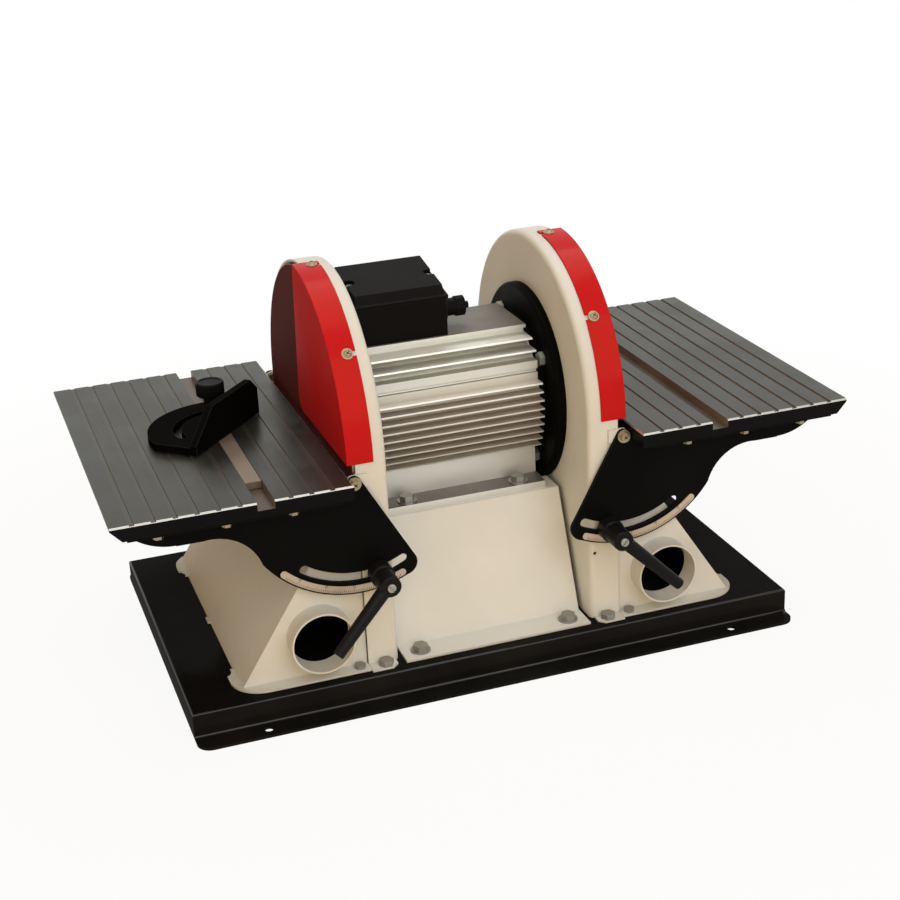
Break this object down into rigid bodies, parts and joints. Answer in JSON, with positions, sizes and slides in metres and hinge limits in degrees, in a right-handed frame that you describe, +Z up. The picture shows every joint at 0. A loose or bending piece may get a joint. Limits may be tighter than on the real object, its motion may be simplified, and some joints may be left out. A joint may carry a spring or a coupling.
{
  "type": "benchtop disc sander",
  "caption": "Bench sander with a finned motor turning a sanding disc at each end, with guards, tilting grooved tables, dust chutes and a mitre gauge.",
  "frame": {"origin": "on the bench under the middle of the base, at the centre of the bench bolt pattern", "axes": "+X along the motor shaft to the right disc, -Y towards the side with the dust ports, +Z up"},
  "size_m": [0.738, 0.4324, 0.3993],
  "materials": {
    "black_paint": "satin",
    "cream_paint": "hammered satin",
    "red_paint": "gloss",
    "bare_aluminium": "extruded",
    "steel": "machined",
    "copper": "enamelled wire",
    "black_plastic": "moulded",
    "zinc": "zinc plated",
    "yellow_zinc": "yellow zinc plated",
    "abrasive": "coated abrasive",
    "cast_iron": "ground top, black rim",
    "scale": "etched strip",
    "black_casting": "satin black",
    "green_button": "moulded",
    "red_button": "moulded"
  },
  "bodies": {
    "stand": {"base_pan": "black_paint", "left_end_bell": "black_paint", "right_end_bell": "black_paint", "pedestal": "cream_paint", "left_housing": "cream_paint", "right_housing": "cream_paint", "left_dust_chute": "cream_paint", "right_dust_chute": "cream_paint", "left_guard": "red_paint", "right_guard": "red_paint", "motor_frame": "bare_aluminium", "stator_core": "steel", "left_bearing": "steel", "right_bearing": "steel", "clamp_studs": "steel", "stator_windings": "copper", "terminal_box": "black_plastic", "terminal_box_lid": "black_plastic", "cable_gland": "black_plastic", "gland_nut": "black_plastic", "switch_box": "black_plastic", "switch_plate": "black_plastic", "lid_screws": "zinc", "bell_bolts": "zinc", "motor_foot_bolts": "zinc", "pedestal_bolts": "zinc", "housing_bolts": "zinc", "chute_bolts": "zinc", "lever_cap_screws": "zinc", "run_capacitor": "zinc", "guard_screws": "yellow_zinc", "pivot_screws": "yellow_zinc"},
    "rotor": {"motor_shaft": "steel", "rotor_core": "steel", "left_disc_plate": "bare_aluminium", "right_disc_plate": "bare_aluminium", "left_sanding_disc": "abrasive", "right_sanding_disc": "abrasive", "hub_set_screws": "zinc"},
    "left_table_group": {"left_table": "cast_iron", "left_front_trunnion": "black_paint", "left_rear_trunnion": "black_paint", "left_angle_scale": "scale", "left_table_screws": "yellow_zinc"},
    "right_table_group": {"right_table": "cast_iron", "right_front_trunnion": "black_paint", "right_rear_trunnion": "black_paint", "right_angle_scale": "scale", "right_table_screws": "yellow_zinc"},
    "left_front_clamp": {"left_front_lever": "black_plastic"},
    "left_rear_clamp": {"left_rear_lever": "black_plastic"},
    "right_front_clamp": {"right_front_lever": "black_plastic"},
    "right_rear_clamp": {"right_rear_lever": "black_plastic"},
    "mitre_slide": {"mitre_bar": "steel", "mitre_pivot_pin": "steel"},
    "mitre_protractor": {"mitre_head": "black_casting"},
    "mitre_lock": {"mitre_knob": "black_plastic"},
    "start": {"start_button": "green_button"},
    "stop": {"stop_button": "red_button"}
  },
  "joints": [
    {"name": "rotor_spin", "type": "hinge", "parent": "stand", "child": "rotor", "pos_m": [0, 0, 0.237], "axis": [1, 0, 0], "continuous": true},
    {"name": "left_tilt", "type": "hinge", "parent": "stand", "child": "left_table_group", "pos_m": [-0.1375, 0, 0.2252], "axis": [0, -1, 0], "range_deg": [-15, 45]},
    {"name": "right_tilt", "type": "hinge", "parent": "stand", "child": "right_table_group", "pos_m": [0.1375, 0, 0.2252], "axis": [0, 1, 0], "range_deg": [-15, 45]},
    {"name": "left_front_lever_turn", "type": "hinge", "parent": "stand", "child": "left_front_clamp", "pos_m": [-0.11928, -0.185, 0.13145], "axis": [0, 1, 0], "range_deg": [-60, 60]},
    {"name": "left_rear_lever_turn", "type": "hinge", "parent": "stand", "child": "left_rear_clamp", "pos_m": [-0.11928, 0.185, 0.13145], "axis": [0, 1, 0], "range_deg": [-60, 60]},
    {"name": "right_front_lever_turn", "type": "hinge", "parent": "stand", "child": "right_front_clamp", "pos_m": [0.11928, -0.185, 0.13145], "axis": [0, 1, 0], "range_deg": [-60, 60]},
    {"name": "right_rear_lever_turn", "type": "hinge", "parent": "stand", "child": "right_rear_clamp", "pos_m": [0.11928, 0.185, 0.13145], "axis": [0, 1, 0], "range_deg": [-60, 60]},
    {"name": "mitre_bar_slide", "type": "slide", "parent": "left_table_group", "child": "mitre_slide", "axis": [0, 1, 0], "range_m": [-0.05, 0.14]},
    {"name": "mitre_head_swivel", "type": "hinge", "parent": "mitre_slide", "child": "mitre_protractor", "pos_m": [-0.228, -0.009, 0.2363], "axis": [0, 0, 1], "range_deg": [-107, 11]},
    {"name": "mitre_knob_turn", "type": "hinge", "parent": "mitre_slide", "child": "mitre_lock", "pos_m": [-0.228, 0.035, 0.2446], "axis": [0, 0, 1], "range_deg": [-180, 180]},
    {"name": "start_push", "type": "slide", "parent": "stand", "child": "start", "axis": [0, -0.9274, -0.374], "range_m": [0, 0.004], "stiffness_N_per_m": 600},
    {"name": "stop_push", "type": "slide", "parent": "stand", "child": "stop", "axis": [0, -0.9274, -0.374], "range_m": [0, 0.004], "stiffness_N_per_m": 600}
  ]
}
